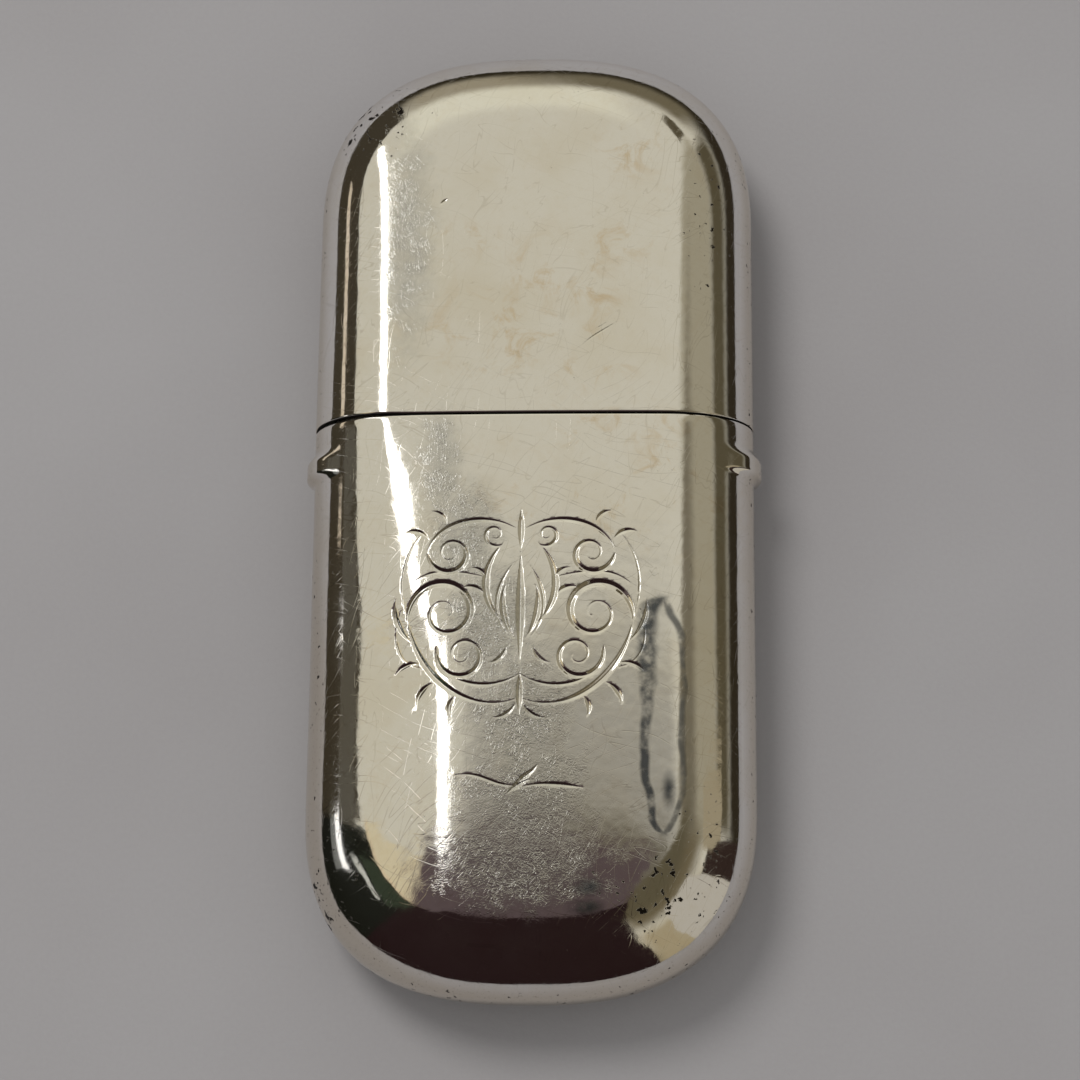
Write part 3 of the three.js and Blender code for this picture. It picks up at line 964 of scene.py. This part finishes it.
def silver_finish(name):
    look = finish(name)
    clouds = look.noise(0.09, 4, 0.6)
    grain = look.noise(1.6, 4, 0.65)
    patchy = look.noise(0.55, 3, 0.6)
    long_lines = look.times(scratches(look, LONG_HAIRLINES), look.step(patchy, 0.62, 0.5))
    fine_lines = look.times(scratches(look, FINE_HAIRLINES), look.step(patchy, 0.25, 0.65))
    haze_and_painted_shade = look.step(look.times_plus(patchy, 1.2, spots(look, HAZE_AND_SHADE_SPOTS)), 0.7, 1.8)

    colour = look.mix(look.step(clouds, 0.42, 0.72), CLEAN_SILVER, WARM_SILVER)
    patches = look.step(look.noise(0.34, 5, 0.7, 0.8), 0.5, 0.7)
    stain = look.times(patches, look.times_plus(spots(look, STAIN_SPOTS), 0.75, 0.12))
    colour = look.mix(stain, colour, TAN_STAIN)
    colour = look.mix(look.times(look.step(grain, 0.45, 0.75), 0.4), colour, WARM_SILVER)
    colour = look.mix(look.times(long_lines, 0.22), colour, SCRATCH_BROWN)
    # Painted shade: where the scratches lie thickest the colour is painted grey, standing in for the dim,
    # blurred reflection there. The roughness and sparkle that the same mask drives further down are real.
    colour = look.mix(look.times(haze_and_painted_shade, 0.75), colour, HAZE_PAINTED_SHADE)
    smudge = look.largest(loop_stain(look), spots(look, SMUDGE_SPOTS))
    loop = look.times(smudge, look.step(patchy, 0.2, 0.6))
    colour = look.mix(look.times(loop, 0.9), colour, LOOP_GREY)
    low = look.step(look.parts(look.place)["Z"], RIM_TOP, RIM_LOW)
    colour = look.mix(look.times(low, 0.9), colour, LOW_TARNISH)
    dust = look.step(look.noise(3.4, 4, 0.75), 0.58, 0.72)
    colour = look.mix(look.times(dust, low), colour, BROWN_DUST)
    small = specks(look, look.largest(spots(look, SPECK_SPOTS), look.times(low, 0.7)), 1.9, 3.0)
    speck = look.largest(small, specks(look, spots(look, LARGE_SPECK_SPOTS), 0.8, 0.7))
    colour = look.mix(speck, colour, SPECK_BLACK)

    clean = look.span(fine_lines, 0.04, 0.09)
    hazed = look.span(fine_lines, 0.17, 0.1)
    roughness = look.node("Mix", {0: haze_and_painted_shade, 2: clean, 3: hazed})[0]
    roughness = look.largest(roughness, look.times(loop, 0.28), look.times(speck, 0.5))
    look.surface({"Base Color": colour, "Roughness": roughness, "Metallic": 1})

    height = look.times_plus(grain, 1.5, look.times(clouds, 60))
    height = look.times_plus(long_lines, -1.2, height)
    height = look.times_plus(speck, -5, height)
    sparkle = look.times(look.noise(6.5, 1.0, 0.5), haze_and_painted_shade)
    height = look.times_plus(sparkle, 8, height)
    fine_depth = look.times_plus(haze_and_painted_shade, 6.0, 0.3)
    look.bump(look.minus(height, look.times(fine_lines, fine_depth)), 0.001)
    return look.material


silver = silver_finish("worn_silver")

# %% [markdown]
# Between the two mouths no cloth ever reaches, so the silver there has gone black. The sleeve is rubbed
# by the body each time the case is opened, and has a dull grey sheen.

# %% Black seam and dull sleeve
look = finish("seam_tarnish")
crust = look.noise(4.0, 4, 0.7)
look.surface({"Base Color": look.mix(crust, (0.008, 0.007, 0.006, 1), (0.03, 0.025, 0.02, 1)),
              "Roughness": 0.7})
look.bump(crust, 0.01)
seam_tarnish = look.material

look = finish("dull_silver")
rubbed_lines = look.noise(1.0, 3, 0.6, place=look.moved(look.place, Scale=(7, 0.4, 7)))
tarnish = look.step(look.noise(0.5, 4, 0.6), 0.35, 0.7)
look.surface({"Base Color": look.mix(tarnish, (0.5, 0.48, 0.44, 1), (0.24, 0.21, 0.18, 1)),
              "Roughness": look.span(tarnish, 0.2, 0.42), "Metallic": 1})
look.bump(rubbed_lines, 0.004)
dull_silver = look.material

# %% [markdown]
# Now both shells are made. The engraving is cut into the body after its wall has its thickness, so that
# the inside of the wall stays plain.

# %% Shells
body_skin = make_shell("body_silver", -1)
engrave(body_skin, engraved)
cap_skin = make_shell("cap_silver", 1)
engrave(cap_skin, scratched)
for shell, node_name, body in ((body_skin, "body_shell", "body"), (cap_skin, "cap_shell", "cap")):
    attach(shell, body)
    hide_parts(node_name)
    triangles = sum(len(face.vertices) - 2 for face in shell.data.polygons)
    print(shell.name, triangles, "triangles")

# %% [markdown]
# The sleeve is a short straight tube of the case's own section. It is fixed inside the cap and slides
# into the body. A tube like this can be raised from one ring that is pulled along the case, given its
# wall by Solidify, and pierced with Booleans for the two nibs and the two rivets.

# %% Sleeve
SLEEVE_WALL = 0.5 * MM
SLEEVE_EASE = 0.06 * MM
SLEEVE_ROWS = 25
CUT_THROUGH = 3 * MM


def cut_with(thing, cutter):
    """Takes the cutter's shape out of a piece and throws the cutter away."""
    apply_modifier(thing, "BOOLEAN", object=cutter, operation="DIFFERENCE", solver="EXACT")
    bpy.data.objects.remove(cutter, do_unlink=True)


def drill(thing, x, radius):
    """Makes the hole for a rivet, straight through along X."""
    bpy.ops.mesh.primitive_cylinder_add(vertices=24, radius=radius, depth=CUT_THROUGH,
                                        rotation=(0, math.pi / 2, 0),
                                        location=(x, rivet_middle.y, rivet_middle.z))
    cut_with(thing, bpy.context.object)


sleeve_low, sleeve_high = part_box("cap_sleeve")
spring_low, spring_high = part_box("right_catch_spring")
rivet_low, rivet_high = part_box("right_catch_rivet")
sleeve_inset = HALF_WIDTH - sleeve_high.x
rivet_middle = (rivet_low + rivet_high) / 2
spring_middle = (spring_low + spring_high) / 2

rings, _ = form_rings(sleeve_inset, [0.0])
at_row = np.abs(rings[0, :, 1]) < TOUCHING
left, right = rings[:, at_row][:, [0, 1]].transpose(1, 0, 2)
section = np.vstack([left, right[-2:0:-1]])
sleeve_rings = np.repeat(section[None], SLEEVE_ROWS, axis=0)
sleeve_rings[..., 1] = np.linspace(sleeve_low.y, sleeve_high.y, SLEEVE_ROWS)[:, None]
press_rings(sleeve_rings)
sleeve = raise_rings("sleeve", sleeve_rings)
apply_modifier(sleeve, "SOLIDIFY", thickness=SLEEVE_WALL, offset=-1, use_even_offset=True)

NIB_MIDDLE_Y = SWELL_TOP - SWELL_RISE - SWELL_FLAT / 2
NIB_CREST = 0.6 * MM
NIB_LEAD = 1.2 * MM
NIB_STOP = 0.6 * MM
WINDOW_EASE = 0.4 * MM
RIVET_HOLE = 0.56 * MM
NIB_LOW = NIB_MIDDLE_Y - NIB_CREST / 2
NIB_HIGH = NIB_MIDDLE_Y + NIB_CREST / 2
window_low = NIB_LOW - NIB_STOP - WINDOW_EASE
window_high = NIB_HIGH + NIB_LEAD + WINDOW_EASE
window_size = (CUT_THROUGH, window_high - window_low, spring_high.z - spring_low.z + 2 * WINDOW_EASE)
for x in (-sleeve_high.x, sleeve_high.x):
    window_middle = (x, (window_low + window_high) / 2, spring_middle.z)
    bpy.ops.mesh.primitive_cube_add(size=1, location=window_middle)
    bpy.context.object.scale = window_size
    cut_with(sleeve, bpy.context.object)
    drill(sleeve, x, RIVET_HOLE)
soften_edges(sleeve, SLEEVE_EASE, 2, 50)
smooth_by_angle(sleeve)
sleeve.data.materials.append(dull_silver)
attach(sleeve, "cap")
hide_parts("cap_sleeve")
print("sleeve", len(sleeve.data.polygons), "faces")

# %% [markdown]
# Each catch is a strip of hard brass, riveted to the sleeve at one end. Its other end springs, and a nib
# pressed out of it clicks into the swell's hollow. The strip starts as a bar, is cut into lengths, and the
# lengths at the nib are pulled outwards. The left one is a mirrored copy.

# %% Brass
look = finish("spring_brass")
lines = look.noise(1.5, 3, 0.6, place=look.moved(look.place, Scale=(6, 0.5, 6)))
dull = look.step(look.noise(0.7, 4, 0.6), 0.48, 0.7)
look.surface({"Base Color": look.mix(dull, (0.62, 0.44, 0.19, 1), (0.36, 0.25, 0.12, 1)),
              "Roughness": look.span(dull, 0.24, 0.45), "Metallic": 1})
look.bump(lines, 0.006)
brass = look.material

# %% Springs
SPRING_THICK = 0.3 * MM
SPRING_EASE = 0.07 * MM
NIB_RISE = spring_high.x - spring_low.x - SPRING_THICK
HOLE_EASE = 0.55 * MM
leaf_middle = (spring_low.x + SPRING_THICK / 2, spring_middle.y, spring_middle.z)
bpy.ops.mesh.primitive_cube_add(size=1, location=leaf_middle)
spring = bpy.context.object
spring.scale = (SPRING_THICK, spring_high.y - spring_low.y, spring_high.z - spring_low.z)
bpy.ops.object.transform_apply(location=True, rotation=True, scale=True)
edit(spring)
for row in (NIB_LOW - NIB_STOP, NIB_LOW, NIB_HIGH, NIB_HIGH + NIB_LEAD):
    bpy.ops.mesh.select_all(action="SELECT")
    bpy.ops.mesh.bisect(plane_co=(0, row, 0), plane_no=(0, 1, 0))
leave_edit()
select_where(spring, "VERT", lambda vertex: abs(vertex.co.y - NIB_MIDDLE_Y) < NIB_CREST / 2 + HAIR)
bpy.ops.transform.translate(value=(NIB_RISE, 0, 0))
leave_edit()
drill(spring, leaf_middle[0], HOLE_EASE)
soften_edges(spring, SPRING_EASE, 3, 20)
smooth_by_angle(spring)
spring.data.materials.append(brass)


def mirrored_copy(thing, name):
    """The same piece on the other side of the case."""
    copy = copy_of(thing, name)
    copy.data.transform(Matrix.Scale(-1, 4, (1, 0, 0)))
    edit(copy, "SELECT")
    bpy.ops.mesh.normals_make_consistent(inside=False)
    leave_edit()
    return copy


spring.name = "right_spring"
for piece, body in ((spring, "right_catch"), (mirrored_copy(spring, "left_spring"), "left_catch")):
    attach(piece, body)
    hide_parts(body + "_spring")
print("springs", [round(v / MM, 2) for v in spring.dimensions])

# %% [markdown]
# A rivet holds each spring to the sleeve. It is a shank with a low domed head, drawn as a profile and
# turned round its own line, like every round piece here.

# %% Turned pieces
def turned(name, profile, steps=28):
    """A round piece from (radius, distance) pairs along X, closed at both ends."""
    angle = np.linspace(0, 2 * math.pi, steps, endpoint=False)
    rings = [np.column_stack([np.full(steps, along), radius * np.cos(angle), radius * np.sin(angle)])
             for radius, along in profile]
    return raise_rings(name, np.array(rings))


RIVET_RADIUS = 0.5 * MM
RIVET_HEAD = 0.85 * MM
RIVET_HEAD_HIGH = 0.4 * MM
rivet_top = [(RIVET_HEAD * math.sin(a), rivet_low.x + RIVET_HEAD_HIGH * (1 - math.cos(a)) * 0.8)
             for a in np.linspace(0, math.pi / 2, 9)]
under_head = rivet_low.x + RIVET_HEAD_HIGH
profile = rivet_top + [(RIVET_HEAD, under_head), (RIVET_RADIUS, under_head), (RIVET_RADIUS, rivet_high.x),
                       (0, rivet_high.x)]
rivet = turned("right_rivet", profile)
rivet.data.transform(Matrix.Translation((0, rivet_middle.y, rivet_middle.z)))
smooth_by_angle(rivet)
rivet.data.materials.append(brass)
for piece, side in ((rivet, "right"), (mirrored_copy(rivet, "left_rivet"), "left")):
    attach(piece, "cap")
    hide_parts(side + "_catch_rivet")

# %% [markdown]
# The pins are plain steel with round heads, six in each row. One is turned and the others are copies,
# each put where its own node is.

# %% Pins
look = finish("pin_steel")
rust = look.step(look.noise(1.4, 5, 0.7), 0.58, 0.72)
look.surface({"Base Color": look.mix(rust, (0.62, 0.62, 0.63, 1), (0.2, 0.14, 0.1, 1)),
              "Roughness": look.span(rust, 0.16, 0.5), "Metallic": 1})
look.bump(look.noise(3.0, 3), 0.006)
steel = look.material

PIN_RADIUS = 0.33 * MM
PIN_HEAD = 0.9 * MM
PIN_TAPER = 3 * MM
STEM_FROM_TAPER = 1 * MM
STEM_FROM_NECK = 0.3 * MM
pin_low, pin_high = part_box("pin_01")
head_middle = pin_high.y - PIN_HEAD
neck = math.sqrt(PIN_HEAD ** 2 - PIN_RADIUS ** 2)
taper = [(PIN_RADIUS * t ** 0.8, pin_low.y + PIN_TAPER * t) for t in np.linspace(0, 1, 7)]
head = [(PIN_HEAD * math.cos(a), head_middle + PIN_HEAD * math.sin(a))
        for a in np.linspace(-math.acos(PIN_RADIUS / PIN_HEAD), math.pi / 2, 13)]
stem_low = pin_low.y + PIN_TAPER + STEM_FROM_TAPER
stem_high = head_middle - neck - STEM_FROM_NECK
stem = [(PIN_RADIUS, y) for y in np.linspace(stem_low, stem_high, 5)]
first_pin = turned("pin", taper + stem + head, 20)
first_pin.data.transform(Matrix.Rotation(math.pi / 2, 4, "Z"))
smooth_by_angle(first_pin, 60)
first_pin.data.materials.append(steel)
pin_places = []
pin_names = sorted(name for name in frame["nodes"] if name.startswith("pin_"))
for name in pin_names:
    pin = copy_of(first_pin, "steel_" + name)
    low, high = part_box(name)
    middle = (low + high) / 2
    pin_places.append(middle)
    pin.data.transform(Matrix.Translation((middle.x, 0, middle.z)))
    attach(pin, name)
    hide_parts(name)
bpy.data.objects.remove(first_pin, do_unlink=True)
print(len(pin_names), "pins")

# %% [markdown]
# The cushion is velvet drawn over wool wadding, with a stiff card down its middle. It fills the body, so
# only its top is free: it bulges, dips along the card and puckers round each pin. It starts as the case's
# form, moved in by its wall, and its open top is closed by rings that shrink to the middle.

# %% Velvet
look = finish("wine_velvet")
pile = look.noise(7.0, 3, 0.7)
rubbed = look.step(look.noise(0.35, 3, 0.6), 0.5, 0.8)
base = look.mix(look.step(pile, 0.3, 0.7), (0.045, 0.006, 0.012, 1), (0.115, 0.014, 0.03, 1))
look.surface({"Base Color": look.mix(rubbed, base, (0.17, 0.035, 0.055, 1)), "Roughness": 0.95,
              "Specular IOR Level": 0.15, "Sheen Weight": 0.8, "Sheen Roughness": 0.35,
              "Sheen Tint": (0.75, 0.3, 0.38, 1)})
look.bump(pile, 0.12)
velvet = look.material

# %% Cushion
cover_low, cover_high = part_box("cushion_cover")
COVER_INSET = 1.0 * MM
COVER_THICK = 0.5 * MM
CUSHION_CROWN = 1.6 * MM
SHOULDER_DROP = 1.5 * MM
SHOULDER_EASE = 0.3 * MM
COVER_ROW = 1.2 * MM
TOP_RINGS = 26
LAST_SHARE = 0.004
TOP_MERGE = 0.05 * MM
LOW_TRIM = 0.25 * MM
CARD_DIP = 0.45 * MM
CARD_DIP_REACH = 0.55 * MM
PUCKER = 0.55 * MM
PUCKER_REACH = 0.75 * MM
half_cushion = HALF_WIDTH - COVER_INSET
half_high = MIDDLE_Z - COVER_INSET


def cushion_top(x, z):
    """Height along the case of the cushion's free top."""
    up = (z - MIDDLE_Z) / half_high
    top = cover_high.y - CUSHION_CROWN * (x / half_cushion) ** 2 - SHOULDER_DROP * abs(up) ** 3
    top -= CARD_DIP * math.exp(-((z - MIDDLE_Z) / CARD_DIP_REACH) ** 2)
    for pin_place in pin_places:
        away = math.hypot(x - pin_place.x, z - pin_place.z)
        top -= PUCKER * math.exp(-(away / PUCKER_REACH) ** 2)
    return top


rows = rows_between(STRAIGHT, -STRAIGHT, COVER_ROW)[1:-1]
rings, _ = form_rings(COVER_INSET, rows, end_steps=24, edge_steps=14, crown_steps=6)
press_rings(rings)
cover = raise_rings("velvet_cushion", rings)
cushion_shoulder = cover_high.y - CUSHION_CROWN - SHOULDER_DROP - SHOULDER_EASE
cut_across(cover, cushion_shoulder, keep_above=False)
select_where(cover, "EDGE", lambda edge: edge.is_boundary)
last = 1.0
for k in range(1, TOP_RINGS + 1):
    share = 1 - k / TOP_RINGS if k < TOP_RINGS else LAST_SHARE
    bpy.ops.mesh.extrude_edges_move()
    mesh = bmesh.from_edit_mesh(cover.data)
    for vertex in mesh.verts:
        if vertex.select:
            x = vertex.co.x * share / last
            z = MIDDLE_Z + (vertex.co.z - MIDDLE_Z) * share / last
            vertex.co = (x, cushion_top(x, z), z)
    bmesh.update_edit_mesh(cover.data)
    last = share
bpy.ops.mesh.select_all(action="SELECT")
bpy.ops.mesh.remove_doubles(threshold=TOP_MERGE)
bpy.ops.mesh.fill_holes(sides=0)
bpy.ops.mesh.normals_make_consistent(inside=False)
leave_edit()
cut_across(cover, cover_low.y + LOW_TRIM, keep_above=True)
apply_modifier(cover, "SOLIDIFY", thickness=COVER_THICK, offset=-1)
smooth_by_angle(cover, 60)
cover.data.materials.append(velvet)
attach(cover, "body")
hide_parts("cushion_cover")
print("cushion", len(cover.data.polygons), "faces")

# %% [markdown]
# Inside the cover lie two pads of wool, lumpy like real stuffing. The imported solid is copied, skinned with
# small even faces, smoothed and pushed about. The front pad is squashed under the pressed shoulder, and
# not at all on the card.

# %% Wool pads
look = finish("wool_wadding")
fibres = look.noise(2.6, 5, 0.75, 1.5)
thick = look.step(fibres, 0.3, 0.7)
look.surface({"Base Color": look.mix(thick, (0.50, 0.45, 0.35, 1), (0.80, 0.76, 0.66, 1)),
              "Roughness": 1, "Sheen Weight": 0.3})
look.bump(fibres, 0.25)
wool = look.material

WOOL_VOXEL = 0.42 * MM
LUMP_SIZE = 2.2 * MM
LUMP_HEIGHT = 0.5 * MM
PAD_GIVE = 1.5 * MM
UNDER_COVER = 0.35 * MM
lumps = bpy.data.textures.new("wool_lumps", "CLOUDS")
lumps.noise_scale = LUMP_SIZE
for node_name in ("front_wadding", "back_wadding"):
    pad = copy_of(frame["nodes"][node_name], "wool_" + node_name.split("_")[0])
    pad.data.materials.clear()
    edit(pad, "SELECT")
    bpy.ops.mesh.remove_doubles(threshold=TOUCHING)
    leave_edit()
    apply_modifier(pad, "REMESH", mode="VOXEL", voxel_size=WOOL_VOXEL)
    apply_modifier(pad, "SMOOTH", factor=0.5, iterations=5)
    apply_modifier(pad, "DISPLACE", texture=lumps, strength=LUMP_HEIGHT, mid_level=0.75)
    pad_low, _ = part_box(node_name)
    for vertex in pad.data.vertices:
        x, y, z = vertex.co
        if node_name == "front_wadding":
            share = min((z - pad_low.z) / PAD_GIVE, 1)
            vertex.co.z += share * (press(x, y, z) - z)
        vertex.co.y = min(y, cushion_top(x, z) - COVER_THICK - UNDER_COVER)
    bpy.ops.object.shade_smooth()
    pad.data.materials.append(wool)
    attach(pad, "body")
    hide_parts(node_name)
    print(pad.name, len(pad.data.polygons), "faces")

# %% [markdown]
# The card between the pads is already the right shape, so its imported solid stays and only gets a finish.

# %% Card
look = finish("pasteboard")
pulp = look.noise(1.8, 5, 0.7)
pale = look.step(pulp, 0.35, 0.7)
look.surface({"Base Color": look.mix(pale, (0.42, 0.32, 0.19, 1), (0.58, 0.47, 0.30, 1)),
              "Roughness": 0.9})
look.bump(pulp, 0.05)
frame["nodes"]["cushion_card"].data.materials.clear()
frame["nodes"]["cushion_card"].data.materials.append(look.material)
